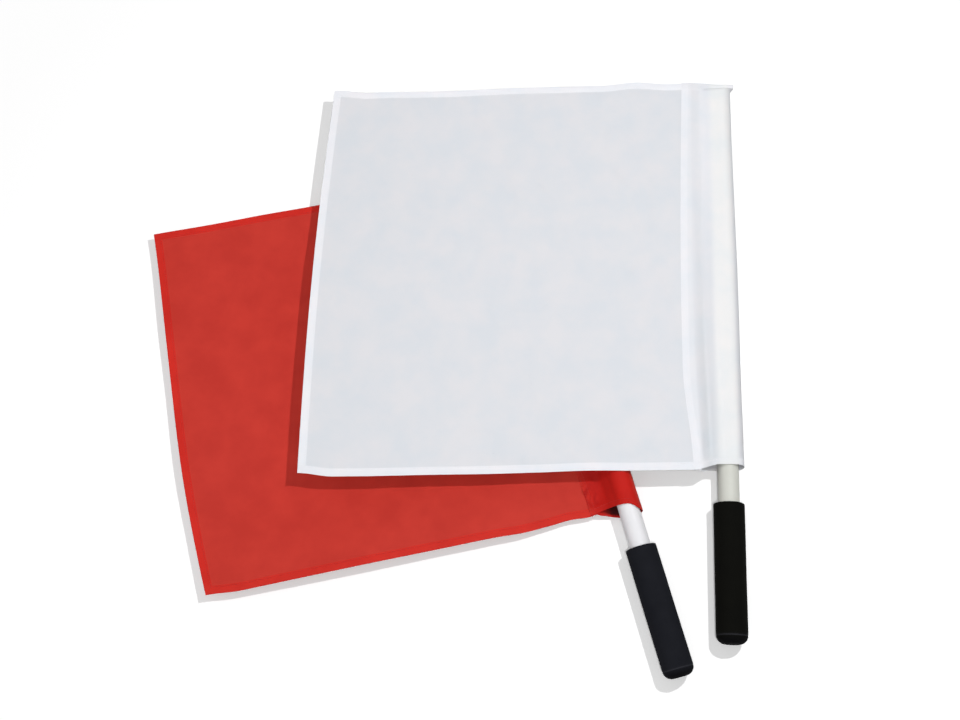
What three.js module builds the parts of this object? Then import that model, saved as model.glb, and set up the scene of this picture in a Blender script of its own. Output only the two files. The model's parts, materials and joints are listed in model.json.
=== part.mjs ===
// A pair of linesman flags, one white and one red, laid one over the other on a table.
// Units are millimetres, +Z is up and the flags lie on z = 0.
// Each flag is a pipe pole with a foam grip on its foot and a plug in its top, and a hemmed
// panel of cloth sewn into a casing. The casing is closed at its top and open at its foot,
// so the pole goes up into it and the cloth turns on the pole.

import * as THREE from 'three';

// Pole: half-inch pipe, cut to the height of its cloth
const poleRadius = 10.65;
const poleWall = 2.8;
const poleSides = 40;

// Plug that closes the pole's top
const plugHeadHeight = 3.2;
const plugHeadEdge = 1.2;
const plugStemLength = 18;
const plugStemWall = 1.6;
const plugStemTaper = 0.5;

// Foam grip, closed at its foot, with a small vent in the closed end
const gripRadius = 15.5;
const gripEndWall = 12;
const gripEndRound = 9;
const gripMouthRound = 1.4;
const gripVentRadius = 1.6;
const gripRoundSteps = 5;

// Cloth: ply, hems and the running clearances
const ply = 0.5;
const hemThickness = 0.95;
const hemWidth = 8;
const hemRamp = 1.2;
const seatGap = 0.3;
const casingSlack = 0.6;
const restGap = 0.95;

// Casing: the lap of its two plies over the panel, its mouth hem and its closed top
const casingLap = 7;
const casingMouthHem = 6.5;
const casingMouthReach = 110;
const casingCloseLength = 11;
const casingClosedRadius = 1.7;
const casingTouchSoftness = 2.4;
const casingNoseReach = 140;
const mouthDropReach = 12;
const seamSagReach = 24;
const flySagReach = 50;

// Counts of the cloth grids
const panelColumns = 19;
const panelRows = 19;
const casingTopSteps = 9;
const casingNoseSteps = 8;
const casingRows = 12;
const casingCloseRows = 4;

// Drape of the upper flag over the lower flag's casing
const ridgeSoftness = 220;

// The white flag lies on top and the red flag lies beneath it.
// place is the foot of the casing on the pole's axis, and turn is the pole's turn from +Y.
// flyFlare is how much further from the pole the fly is at its head than at its foot.
const whiteFlag = {
  name: 'white',
  colour: 0xeceaf0,
  place: [251, -119],
  turn: -2.85,
  clothHeight: 446.5,
  flyReach: 432.4,
  flyFlare: 4.3,
  flyDropFoot: 31.4,
  flyDropHead: 34,
  flyBow: 5.4,
  flyBowLean: 1,
  barePole: 39.5,
  gripLength: 137,
  seamReach: 45,
  seamReachFoot: 37,
  seamBow: 3,
  seamSag: 3,
  footSag: 4,
  headSag: 4.5,
  seamHeight: 28.3,
  noseSlack: 1.7,
  mouthShift: 2.6,
  mouthDrop: 0,
  valleyFoot: 6.5,
  valleyHead: 3.5,
  flyHeight: 24.5,
  waveHeight: 0.3,
  waveLength: 190,
};

const redFlag = {
  name: 'red',
  colour: 0xc5372f,
  place: [148, -161],
  turn: 14.55,
  clothHeight: 402.5,
  flyReach: 423,
  flyFlare: -11.7,
  flyDropFoot: -20,
  flyDropHead: -17,
  flyBow: 6,
  flyBowLean: 1.6,
  barePole: 42,
  gripLength: 128,
  seamReach: 43,
  seamReachFoot: 38,
  seamBow: 0,
  seamSag: 0.8,
  footSag: 0,
  headSag: 0,
  seamHeight: 9,
  noseSlack: 0.7,
  mouthShift: 0.4,
  mouthDrop: 6,
  valleyFoot: 3,
  valleyHead: 1.5,
  flyHeight: 9,
  waveHeight: 1.1,
  waveLength: 150,
};

// Lowest line of the red panel and the stretch in which it comes down from its seam
const redLowHeight = 0.8;
const redFallReach = 130;
const redEdgeReach = 95;
const redFootLift = 8;
const redHeadLift = 6;

// Heights and radii that follow from the sizes above
const poleBoreRadius = poleRadius - poleWall;
const gripBoreRadius = poleRadius + seatGap;
const axisHeight = gripRadius * Math.cos(Math.PI / poleSides);
const casingRadius = poleRadius + casingSlack + hemThickness / 2;
const casingOuterRadius = casingRadius + hemThickness / 2;
const lapOffset = hemThickness + seatGap;
const ridgeHeight = axisHeight + casingOuterRadius + restGap + ply / 2;

const foamMaterial = () => new THREE.MeshStandardMaterial({ color: 0x121210, roughness: 0.88, metalness: 0 });
const pipeMaterial = () => new THREE.MeshStandardMaterial({ color: 0xe6e6e2, roughness: 0.42, metalness: 0 });

function clothMaterial(flag) {
  return new THREE.MeshStandardMaterial({ color: flag.colour, roughness: 0.7, metalness: 0 });
}

const clamp01 = (value) => Math.min(Math.max(value, 0), 1);

function ease(value) {
  const t = clamp01(value);
  return t * t * (3 - 2 * t);
}

const blend = (from, to, share) => from + (to - from) * share;

const softMax = (a, b, softness) => (a + b + Math.hypot(a - b, softness)) / 2;

const softMin = (a, b, softness) => (a + b - Math.hypot(a - b, softness)) / 2;

const softReach = (distance, softness) => Math.hypot(distance, softness) - softness;

// Points of a quarter round from one angle to the other, both in quarter turns
function roundPoints(centreX, centreY, radius, fromQuarter, toQuarter) {
  const points = [];
  for (let step = 0; step <= gripRoundSteps; step += 1) {
    const angle = (Math.PI / 2) * blend(fromQuarter, toQuarter, step / gripRoundSteps);
    points.push([centreX + radius * Math.cos(angle), centreY + radius * Math.sin(angle)]);
  }
  return points;
}

// Solid of revolution about the pole's axis, with a flat side down
function turned(profile) {
  const points = [...profile, profile[0]].map(([radius, along]) => new THREE.Vector2(radius, along));
  return new THREE.LatheGeometry(points, poleSides, Math.PI / poleSides);
}

// The pole runs from inside the grip to just under the closed top of the casing.
function poleSpan(flag) {
  const foot = -flag.barePole - flag.gripLength + gripEndWall + seatGap;
  const head = flag.clothHeight - casingCloseLength - plugHeadHeight - seatGap;
  return { foot, head };
}

function poleGeometry(flag) {
  const { foot, head } = poleSpan(flag);
  return turned([
    [poleBoreRadius, foot],
    [poleRadius, foot],
    [poleRadius, head],
    [poleBoreRadius, head],
  ]);
}

function plugGeometry(flag) {
  const seat = poleSpan(flag).head + seatGap;
  const stemRadius = poleBoreRadius - seatGap;
  const innerRadius = stemRadius - plugStemWall;
  const tip = seat - plugStemLength;
  return turned([
    [innerRadius - plugStemTaper, tip],
    [stemRadius - plugStemTaper, tip],
    [stemRadius, seat],
    [poleRadius, seat],
    [poleRadius, seat + plugHeadHeight - plugHeadEdge],
    [poleRadius - plugHeadEdge, seat + plugHeadHeight - seatGap],
    [0, seat + plugHeadHeight - seatGap],
    [0, seat],
    [innerRadius, seat],
  ]);
}

function gripGeometry(flag) {
  const mouth = -flag.barePole;
  const end = mouth - flag.gripLength;
  return turned([
    [gripVentRadius, end],
    ...roundPoints(gripRadius - gripEndRound, end + gripEndRound, gripEndRound, -1, 0),
    ...roundPoints(gripRadius - gripMouthRound, mouth - gripMouthRound, gripMouthRound, 0, 1),
    [gripBoreRadius, mouth],
    [gripBoreRadius, end + gripEndWall],
    [gripVentRadius, end + gripEndWall],
  ]);
}

// Closed solid between two matching grids of points: front has its columns along +X and
// its rows along +Y where it faces +Z, and back lies behind it.
function solidBetween(front, back) {
  const rows = front.length;
  const columns = front[0].length;
  const positions = [...front.flat(), ...back.flat()].flat();
  const indices = [];
  const at = (side, row, column) => (side * rows + row) * columns + column;
  const quad = (a, b, c, d) => indices.push(a, b, c, a, c, d);
  const lastRow = rows - 1;
  const lastColumn = columns - 1;
  for (let row = 0; row < lastRow; row += 1) {
    for (let column = 0; column < lastColumn; column += 1) {
      quad(at(0, row, column), at(0, row, column + 1), at(0, row + 1, column + 1), at(0, row + 1, column));
      quad(at(1, row, column), at(1, row + 1, column), at(1, row + 1, column + 1), at(1, row, column + 1));
    }
    quad(at(0, row, 0), at(0, row + 1, 0), at(1, row + 1, 0), at(1, row, 0));
    quad(at(0, row, lastColumn), at(1, row, lastColumn), at(1, row + 1, lastColumn), at(0, row + 1, lastColumn));
  }
  for (let column = 0; column < lastColumn; column += 1) {
    quad(at(0, 0, column), at(1, 0, column), at(1, 0, column + 1), at(0, 0, column + 1));
    quad(at(0, lastRow, column), at(0, lastRow, column + 1), at(1, lastRow, column + 1), at(1, lastRow, column));
  }
  const geometry = new THREE.BufferGeometry();
  geometry.setAttribute('position', new THREE.Float32BufferAttribute(positions, 3));
  geometry.setIndex(indices);
  geometry.computeVertexNormals();
  return geometry;
}

// The cloth is sheared a little on its pole: its rows slope towards the fly, hang a little
// beside the pole, where no pole holds them up, and hang at the mouth's outer side.
function alongPole(flag, across, height) {
  const share = height / flag.clothHeight;
  const slope = blend(flag.flyDropFoot, flag.flyDropHead, share) / flag.flyReach;
  const besidePole = ease((-across - poleRadius) / seamSagReach);
  const beforeFly = ease((flag.flyReach + across) / flySagReach);
  const seamSag = flag.seamSag * clamp01(1 + across / flag.flyReach) * (1 - share);
  const sag = besidePole * (seamSag + beforeFly * blend(flag.footSag, flag.headSag, share));
  const drop = flag.mouthDrop * ease(across / mouthDropReach) * (1 - ease(height / casingMouthReach));
  return height + slope * Math.min(across, 0) - sag - drop;
}

function seamPlace(flag, height) {
  const drawn = 1 - ease(height / casingMouthReach);
  const bow = flag.seamBow * Math.sin((Math.PI * height) / flag.clothHeight);
  return -blend(flag.seamReach, flag.seamReachFoot, drawn) - bow;
}

function flyPlace(flag, height) {
  const share = height / flag.clothHeight;
  const bow = flag.flyBow * Math.sin(Math.PI * (1 - share) ** flag.flyBowLean);
  return -(flag.flyReach + flag.flyFlare * share) - bow;
}

// Where a point of the white flag lies across the red flag's pole, negative on its cloth's side
function acrossRedPole(across, height) {
  const whiteTurn = THREE.MathUtils.degToRad(whiteFlag.turn);
  const redTurn = THREE.MathUtils.degToRad(redFlag.turn);
  const x = whiteFlag.place[0] + across * Math.cos(whiteTurn) - height * Math.sin(whiteTurn);
  const y = whiteFlag.place[1] + across * Math.sin(whiteTurn) + height * Math.cos(whiteTurn);
  return (x - redFlag.place[0]) * Math.cos(redTurn) + (y - redFlag.place[1]) * Math.sin(redTurn);
}

// The white panel falls from its ridge on the red casing, to its own seam on one side and
// to its fly on the other, with shallow waves on the way.
function whitePanelHeight(across, height) {
  const seam = seamPlace(whiteFlag, height);
  const relativeTurn = THREE.MathUtils.degToRad(redFlag.turn - whiteFlag.turn);
  const ridge = -acrossRedPole(0, height) / Math.cos(relativeTurn);
  const towardsSeam = across > ridge;
  const end = towardsSeam ? seam : flyPlace(whiteFlag, height);
  const endHeight = towardsSeam ? whiteFlag.seamHeight : whiteFlag.flyHeight;
  const reach = Math.abs(end - ridge);
  const distance = Math.min(Math.abs(across - ridge), reach);
  const fall = softReach(distance, ridgeSoftness) / softReach(reach, ridgeSoftness);
  const wave = Math.sin(Math.PI * (distance / reach)) * Math.sin((Math.PI * 2 * height) / whiteFlag.waveLength);
  const stillShare = towardsSeam ? 0 : 1;
  return blend(ridgeHeight, endHeight, fall) + stillShare * whiteFlag.waveHeight * wave;
}

// The red panel comes down from its seam to the table and lifts a little at its edges.
function redPanelHeight(across, height) {
  const seam = seamPlace(redFlag, height);
  const fly = flyPlace(redFlag, height);
  const fallen = ease((seam - across) / redFallReach);
  const nearFly = ease(1 - (across - fly) / redEdgeReach);
  const nearFoot = ease(1 - height / redEdgeReach);
  const nearHead = ease(1 - (redFlag.clothHeight - height) / redEdgeReach);
  const wave = Math.sin((Math.PI * 2 * (across - height)) / redFlag.waveLength);
  const lift = nearFly * redFlag.flyHeight + (1 - nearFly) * (nearFoot * redFootLift + nearHead * redHeadLift);
  const low = redLowHeight + lift + redFlag.waveHeight * (1 + wave) / 2;
  return blend(redFlag.seamHeight, low, fallen);
}

const panelHeight = (flag, across, height) => (
  flag === whiteFlag ? whitePanelHeight(across, height) : redPanelHeight(across, height)
);

// Places of a panel's grid lines from one edge to the other, with a hem at each end it is asked for
function hemmedPlaces(from, to, steps, hemAtStart, hemAtEnd) {
  const direction = Math.sign(to - from);
  const start = hemAtStart ? [from, from + direction * hemWidth] : [from];
  const end = hemAtEnd ? [to - direction * hemWidth, to] : [to];
  const first = hemAtStart ? start[1] + direction * hemRamp : from;
  const last = hemAtEnd ? end[0] - direction * hemRamp : to;
  const inner = [];
  const skipFirst = hemAtStart ? 0 : 1;
  const skipLast = hemAtEnd ? 0 : 1;
  for (let step = skipFirst; step <= steps - skipLast; step += 1) {
    inner.push(blend(first, last, step / steps));
  }
  return [...start, ...inner, ...end];
}

// Panel: one ply with a turned hem on its head, foot and fly; its fourth edge goes between
// the two plies of the casing.
function panelGeometry(flag) {
  const heights = hemmedPlaces(0, flag.clothHeight, panelRows, true, true);
  const front = [];
  const back = [];
  for (const height of heights) {
    const seam = seamPlace(flag, height);
    const inHem = Math.min(height, flag.clothHeight - height) <= hemWidth;
    const fly = flyPlace(flag, height);
    const places = [...hemmedPlaces(fly, seam, panelColumns, true, false), seam + casingLap];
    const points = places.map((across) => {
      const surface = panelHeight(flag, Math.min(across, seam), height);
      const thick = inHem || across - fly <= hemWidth ? hemThickness : ply;
      return { across, surface, thick };
    });
    const along = (across) => alongPole(flag, across, height);
    front.push(points.map(({ across, surface, thick }) => [across, along(across), surface + thick / 2]));
    back.push(points.map(({ across, surface, thick }) => [across, along(across), surface - thick / 2]));
  }
  return solidBetween(front, back);
}

// How far the casing is closed at a height: 0 round the pole, 1 along its top edge
function casingClosed(flag, height) {
  return clamp01(1 - (flag.clothHeight - height) / casingCloseLength);
}

// Middle line of the casing's two plies at one height, from the seam over the pole and back
function casingSection(flag, height) {
  const closed = casingClosed(flag, height);
  const open = 1 - closed;
  const radius = blend(casingRadius, casingClosedRadius, closed);
  const noseSlack = flag.noseSlack * ease((flag.clothHeight - height) / casingNoseReach);
  const noseShift = noseSlack + flag.mouthShift * (1 - ease(height / casingMouthReach));
  const noseCentre = noseShift + (Math.PI / 2) * (casingRadius - radius);
  const seam = seamPlace(flag, height);
  const lapEnd = seam + casingLap;
  const valleyShare = ease(height / (flag.clothHeight / 2));
  const valley = blend(flag.valleyFoot, flag.valleyHead, valleyShare) * open;
  const touch = casingTouchSoftness * open;
  const overPole = (across) => {
    const rise = Math.sqrt(Math.max(radius * radius - across * across, 0));
    return rise - Math.max(-across - radius, 0);
  };
  const upper = [[seam, flag.seamHeight + lapOffset]];
  const lower = [[seam, flag.seamHeight - lapOffset]];
  for (let step = 0; step < casingTopSteps; step += 1) {
    const share = step / casingTopSteps;
    const across = blend(lapEnd, noseCentre, share);
    const dip = valley * Math.sin(Math.PI * share) ** 2;
    const free = blend(flag.seamHeight + lapOffset, axisHeight + radius, ease(share)) - dip;
    const under = blend(flag.seamHeight - lapOffset, axisHeight - radius, ease(share));
    const laid = touch * Math.sin(Math.PI * share) ** 2;
    const round = overPole(across) * open;
    upper.push([across, softMax(free, axisHeight + round, laid)]);
    lower.push([across, softMin(under, axisHeight - round, laid)]);
  }
  const nose = [];
  for (let step = 0; step <= casingNoseSteps; step += 1) {
    const angle = (Math.PI / 2) * (1 - (2 * step) / casingNoseSteps);
    nose.push([noseCentre + radius * Math.cos(angle), axisHeight + radius * Math.sin(angle)]);
  }
  return [...upper, ...nose, ...lower.reverse()];
}

// The section moved off its middle line along its own normals
function offsetSection(section, distance) {
  return section.map(([across, up], index) => {
    const before = section[Math.max(index - 1, 0)];
    const after = section[Math.min(index + 1, section.length - 1)];
    const length = Math.hypot(after[0] - before[0], after[1] - before[1]);
    const normal = [(before[1] - after[1]) / length, (after[0] - before[0]) / length];
    return [across + normal[0] * distance, up + normal[1] * distance];
  });
}

function casingHeights(flag) {
  const closeFoot = flag.clothHeight - casingCloseLength;
  const heights = [0, casingMouthHem, casingMouthHem + hemRamp];
  for (let row = 1; row <= casingRows; row += 1) {
    heights.push(blend(casingMouthHem + hemRamp, closeFoot, row / casingRows));
  }
  for (let row = 1; row <= casingCloseRows; row += 1) {
    heights.push(blend(closeFoot, flag.clothHeight, row / casingCloseRows));
  }
  return heights;
}

// Casing: two plies round the pole, hemmed at the mouth and drawn flat along the closed top,
// where the width that went round the pole stands out past it as an ear
function casingGeometry(flag) {
  const front = [];
  const back = [];
  for (const height of casingHeights(flag)) {
    const thick = height <= casingMouthHem ? hemThickness : ply;
    const section = casingSection(flag, height);
    const place = ([across, up]) => [across, alongPole(flag, across, height), up];
    front.push(offsetSection(section, thick / 2).map(place));
    back.push(offsetSection(section, -thick / 2).map(place));
  }
  return solidBetween(front, back);
}

function namedMesh(name, geometry, material, lift) {
  const mesh = new THREE.Mesh(geometry, material);
  mesh.name = name;
  mesh.position.z = lift;
  return mesh;
}

function flagGroup(flag) {
  const group = new THREE.Group();
  group.add(namedMesh(`${flag.name}_pole`, poleGeometry(flag), pipeMaterial(), axisHeight));
  group.add(namedMesh(`${flag.name}_pole_plug`, plugGeometry(flag), pipeMaterial(), axisHeight));
  group.add(namedMesh(`${flag.name}_grip`, gripGeometry(flag), foamMaterial(), axisHeight));
  group.add(namedMesh(`${flag.name}_panel`, panelGeometry(flag), clothMaterial(flag), 0));
  group.add(namedMesh(`${flag.name}_casing`, casingGeometry(flag), clothMaterial(flag), 0));
  group.position.set(flag.place[0], flag.place[1], 0);
  group.rotation.z = THREE.MathUtils.degToRad(flag.turn);
  return group;
}

// The origin is under the middle of the pair, on the table.
const pair = new THREE.Group();
pair.add(flagGroup(redFlag), flagGroup(whiteFlag));
pair.updateMatrixWorld(true);
const middle = new THREE.Box3().setFromObject(pair, true).getCenter(new THREE.Vector3());
pair.position.set(-middle.x, -middle.y, 0);

export default pair;
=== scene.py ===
# %% [markdown]
# A pair of linesman flags, one white and one red, lies on a pale table with the white one on
# top. Each flag is a plastic pipe with a foam grip on its foot and a square of thin woven
# nylon whose hoist edge is a casing round the pipe. The rigid parts are simple turned forms,
# so nearly all of the look is in the cloth: its hems, its seam, the way it goes round the
# pipe and the way one flag lies over the other.

import json
import math
from types import SimpleNamespace

import bpy
import numpy as np
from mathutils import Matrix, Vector


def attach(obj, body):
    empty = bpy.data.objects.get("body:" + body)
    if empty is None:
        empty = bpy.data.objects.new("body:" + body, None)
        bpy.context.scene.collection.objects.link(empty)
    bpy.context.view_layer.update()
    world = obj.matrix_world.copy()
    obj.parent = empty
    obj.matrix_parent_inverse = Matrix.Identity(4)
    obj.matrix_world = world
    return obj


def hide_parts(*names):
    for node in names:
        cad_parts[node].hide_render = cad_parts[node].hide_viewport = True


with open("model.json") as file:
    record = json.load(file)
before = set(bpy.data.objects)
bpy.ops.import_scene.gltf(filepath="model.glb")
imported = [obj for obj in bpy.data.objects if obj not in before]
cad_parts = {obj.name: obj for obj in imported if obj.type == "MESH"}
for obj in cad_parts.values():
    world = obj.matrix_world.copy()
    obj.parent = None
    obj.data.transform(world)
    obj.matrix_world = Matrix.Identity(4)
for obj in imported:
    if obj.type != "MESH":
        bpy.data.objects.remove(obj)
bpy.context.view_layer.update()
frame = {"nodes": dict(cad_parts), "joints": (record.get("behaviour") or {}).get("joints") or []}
MM = 0.001

# %% [markdown]
# The camera comes first, because every later choice is judged through it. The photograph
# looks almost straight down: fitting the flags' corners gave a view tilted 19.5 degrees from
# straight down, 1.2 m from the table, with a field of view of a 43 mm lens on a 36 mm film.

# %% The camera
PICTURE_WIDTH = 960
FOCAL_PIXELS = 1137
SENSOR_WIDTH = 36.0
VIEW_TILT = math.radians(19.5)
VIEW_DISTANCE = 1.205
LOOK_AT = Vector((0.0322, 0.0003, 0.0))


def add_object(name, data):
    """Puts a new object into the scene, at the origin."""
    thing = bpy.data.objects.new(name, data)
    bpy.context.scene.collection.objects.link(thing)
    return thing


def add_camera():
    data = bpy.data.cameras.new("view")
    data.sensor_width = SENSOR_WIDTH
    data.lens = FOCAL_PIXELS / PICTURE_WIDTH * SENSOR_WIDTH
    camera = add_object("view", data)
    back = Vector((0, -math.sin(VIEW_TILT), math.cos(VIEW_TILT)))
    camera.location = LOOK_AT + back * VIEW_DISTANCE
    camera.rotation_mode = "QUATERNION"
    camera.rotation_quaternion = (-back).to_track_quat("-Z", "Y")
    bpy.context.scene.camera = camera
    return camera


camera = add_camera()
print("camera at", [round(v, 3) for v in camera.location], "lens", round(camera.data.lens, 2))

# %% [markdown]
# Each flag is drawn in its own flat coordinates: across the pole, along the pole and up from
# the table, all in millimetres. The joint on the pole's axis says where those lie, so the
# cloth can't drift off its pole. The sizes below are the real object's, and agree with the
# solids it replaces.

# %% Sizes of the pair
POLE_RADIUS = 10.65
POLE_WALL = 2.8
GRIP_RADIUS = 15.45
GRIP_END_WALL = 12.0
GRIP_END_ROUND = 9.0
GRIP_MOUTH_ROUND = 1.4
GRIP_VENT_RADIUS = 1.6
SEAT_GAP = 0.3
PLY = 0.3
HEM_THICKNESS = 0.6
HEM_WIDTH = 8.0
HEM_RAMP = 1.0
CASING_CLEARANCE = 1.075
RIDGE_CLEARANCE = 1.675
CASING_LAP = 7.0
CASING_MOUTH_HEM = 6.5
CASING_MOUTH_REACH = 110.0
CASING_CLOSE_LENGTH = 11.0
CASING_CLOSED_RADIUS = 0.4
EAR_REACH = 1.39
CASING_RELEASE = 40.0
CASING_TOUCH_SOFTNESS = 2.4
CASING_NOSE_REACH = 300.0
SEAM_SAG_REACH = 24.0
FLY_SAG_REACH = 36.0
PLUG_HEAD_HEIGHT = 3.2
RIDGE_SOFTNESS = 220.0
CASING_RADIUS = POLE_RADIUS + CASING_CLEARANCE

# Each pair of values is the white flag's and the red flag's. A crease is its place across, its
# level, its radius, its half width and its rise. A wave is its place across, its half width and
# its rise.
FLAG_SIZES = {
    "name": ("white", "red"),
    "joint": ("white_cloth_swing", "red_pole_turn"),
    "rests_on": ("red_casing", "red_pole"),
    "cloth_height": (446.5, 402.5),
    "fly_reach_foot": (433.2, 424.6),
    "fly_reach_head": (436.7, 412.0),
    "fly_drop_foot": (31.4, -20.0),
    "fly_drop_head": (34.0, -17.0),
    "fly_bow": (4.6, 6.0),
    "fly_bow_lean": (1.0, 1.6),
    "bare_pole": (39.5, 42.0),
    "grip_length": (137.0, 128.0),
    "seam_reach": (45.0, 43.0),
    "seam_reach_foot": (37.0, 38.0),
    "seam_bow": (3.0, 0.0),
    "seam_sag": (3.0, 0.8),
    "foot_sag": (4.0, 2.6),
    "head_sag": (4.5, 0.0),
    "seam_height": (28.3, 9.0),
    "casing_plies": (1.0, 0.25),
    "gap_softness": (1.0, 0.8),
    "gap_share": (1.0, 0.7),
    "gap_shift": (0.0, 4.0),
    "drawn_from": (-17.0, -46.0),
    "drawn_over": (8.0, 18.0),
    "nose_slack": (3.2, 0.7),
    "mouth_shift": (1.1, 0.4),
    "mouth_drop": (0.0, 6.6),
    "lower_ply_drop": (2.6, 2.8),
    "valley_foot": (9.0, 6.0),
    "valley_head": (3.5, 2.5),
    "fly_height": (24.5, 11.0),
    "wave_height": (0.3, 1.1),
    "wave_length": (190.0, 150.0),
    "dent_seed": (11, 23),
    "creases": (
        [],
        [(-24, 14, 9.0, 3.4, 1.0), (-27, 19, 15.0, 3.4, 0.9), (-35, 12, 16.0, 4.4, 0.8)]),
    "head_waves": (
        [(-97, 38, 3.2), (-310, 90, -2.0), (-38, 16, 1.0), (-13, 18, -1.8), (15, 18, 2.0)],
        [(-300, 70, 0.6)]),
    "foot_waves": (
        [(-250, 90, -0.8), (-350, 80, -0.7), (-140, 50, 0.9), (-2, 26, -1.2)],
        [(-50, 60, 2.0), (-60, 22, 1.0), (-110, 30, -0.8), (-25, 17, 2.8), (-9, 16, 1.6)]),
}
WHITE, RED = (
    SimpleNamespace(**{key: pair[side] for key, pair in FLAG_SIZES.items()}) for side in (0, 1))
FLAGS = (WHITE, RED)
RED_LOW_HEIGHT = 0.8
RED_FALL_REACH = 130.0
RED_EDGE_REACH = 105.0
RED_FOOT_LIFT = 15.0
RED_HEAD_LIFT = 6.0


def place_flag(flag):
    """Reads where the flag's pole lies from its joint: its foot, its direction and its height."""
    joint = next(j for j in frame["joints"] if j["name"] == flag.joint)
    flag.foot = np.array(joint["pos_m"][:2]) / MM
    flag.axis_height = joint["pos_m"][2] / MM
    flag.along = np.array(joint["axis"][:2])
    flag.across = np.array([flag.along[1], -flag.along[0]])


for flag in FLAGS:
    place_flag(flag)
    print(flag.name, "pole foot", flag.foot.round(1), "along", flag.along.round(3))

AXIS_HEIGHT = WHITE.axis_height
RIDGE_HEIGHT = AXIS_HEIGHT + CASING_RADIUS + RIDGE_CLEARANCE

# %% [markdown]
# Smooth steps and soft maxima shape cloth well: real cloth never turns a sharp corner unless
# it is creased. These helpers work on whole grids of points at once.

# %% Shape helpers
THINNEST_EDGE = 0.02


def blend(start, end, share):
    return start + (end - start) * share


def ease(value):
    t = np.clip(value, 0, 1)
    return t * t * (3 - 2 * t)


def soft_max(a, b, softness):
    return (a + b + np.hypot(a - b, softness)) / 2


def soft_min(a, b, softness):
    return (a + b - np.hypot(a - b, softness)) / 2


def soft_reach(distance, softness):
    return np.hypot(distance, softness) - softness


def bump(value, centre, half_width):
    """1 at the centre, falling smoothly to 0 at half_width on either side."""
    return ease(1 - np.abs(value - centre) / half_width)


def round_edge(distance, radius):
    """How thick a folded edge is at a distance from its rim, as a share of its full thickness."""
    return np.sqrt(np.clip(1 - (1 - np.clip(distance / radius, 0, 1)) ** 2, THINNEST_EDGE, 1))


def ripple(x, y, length, seed, waves=6):
    """Irregular shallow waves of about one length: a few sines in seeded directions."""
    dice = np.random.default_rng(seed)
    total = np.zeros(np.broadcast(x, y).shape)
    for _ in range(waves):
        turn = dice.uniform(0, 2 * math.pi)
        step = length * dice.uniform(0.7, 1.5)
        phase = dice.uniform(0, 2 * math.pi)
        total += np.sin((x * math.cos(turn) + y * math.sin(turn)) * 2 * math.pi / step + phase)
    return total / waves


# %% [markdown]
# The panel of cloth is one ply of nylon, with a hem turned under on three edges. Its middle
# surface is worked out from what lies under it. The white cloth is carried by its own pole
# and by the red flag's casing, and comes down to the red cloth at its fly. The red cloth
# comes down from its casing to the table, and its hemmed edges, which are stiffer, lift.

# %% Where the cloth lies
EDGE_WAVE_REACH = 0.16


def edge_waves(flag, across, share):
    """Small waves of the hand-cut head and foot edges, fading towards the middle of the cloth."""
    total = 0
    for waves, from_edge in ((flag.head_waves, 1 - share), (flag.foot_waves, share)):
        whole = sum(rise * bump(across, centre, half) for centre, half, rise in waves)
        total = total + whole * ease(1 - from_edge / EDGE_WAVE_REACH)
    return total


def along_pole(flag, across, height):
    """How far up the pole a point of the flat cloth lies once the cloth is sheared and sags."""
    share = height / flag.cloth_height
    slope = blend(flag.fly_drop_foot, flag.fly_drop_head, share) / flag.fly_reach_foot
    beside_pole = ease((-across - POLE_RADIUS) / SEAM_SAG_REACH)
    before_fly = ease((flag.fly_reach_foot + across) / FLY_SAG_REACH)
    seam_sag = flag.seam_sag * np.clip(1 + across / flag.fly_reach_foot, 0, 1) * (1 - share)
    sag = beside_pole * (seam_sag + before_fly * blend(flag.foot_sag, flag.head_sag, share))
    return height + slope * np.minimum(across, 0) - sag + edge_waves(flag, across, share)


def seam_place(flag, height):
    drawn = 1 - ease(height / CASING_MOUTH_REACH)
    bow = flag.seam_bow * np.sin(math.pi * height / flag.cloth_height)
    return -blend(flag.seam_reach, flag.seam_reach_foot, drawn) - bow


def fly_place(flag, height):
    share = height / flag.cloth_height
    bow = flag.fly_bow * np.sin(math.pi * np.clip(1 - share, 0, 1) ** flag.fly_bow_lean)
    return -blend(flag.fly_reach_foot, flag.fly_reach_head, share) - bow


def on_table(flag, across, along):
    """The frame's x and y, in millimetres, of a point in a flag's own coordinates."""
    return [flag.foot[i] + across * flag.across[i] + along * flag.along[i] for i in (0, 1)]


def to_world(flag, across, along, up):
    """Points of a flag's own coordinates as points of the frame, in metres."""
    x, y = on_table(flag, across, along)
    return np.stack([x, y, np.broadcast_to(up, x.shape)], axis=-1) * MM


def across_red_pole(across, height):
    x, y = on_table(WHITE, across, height)
    return (x - RED.foot[0]) * RED.across[0] + (y - RED.foot[1]) * RED.across[1]


def white_panel_height(across, height):
    seam = seam_place(WHITE, height)
    ridge = -across_red_pole(0 * height, height) / float(WHITE.across @ RED.across)
    towards_seam = across > ridge
    end = np.where(towards_seam, seam, fly_place(WHITE, height))
    end_height = np.where(towards_seam, WHITE.seam_height, WHITE.fly_height)
    reach = np.abs(end - ridge)
    distance = np.minimum(np.abs(across - ridge), reach)
    fall = soft_reach(distance, RIDGE_SOFTNESS) / soft_reach(reach, RIDGE_SOFTNESS)
    wave = np.sin(math.pi * distance / reach) * np.sin(math.pi * 2 * height / WHITE.wave_length)
    return blend(RIDGE_HEIGHT, end_height, fall) + np.where(towards_seam, 0, WHITE.wave_height * wave)


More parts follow.
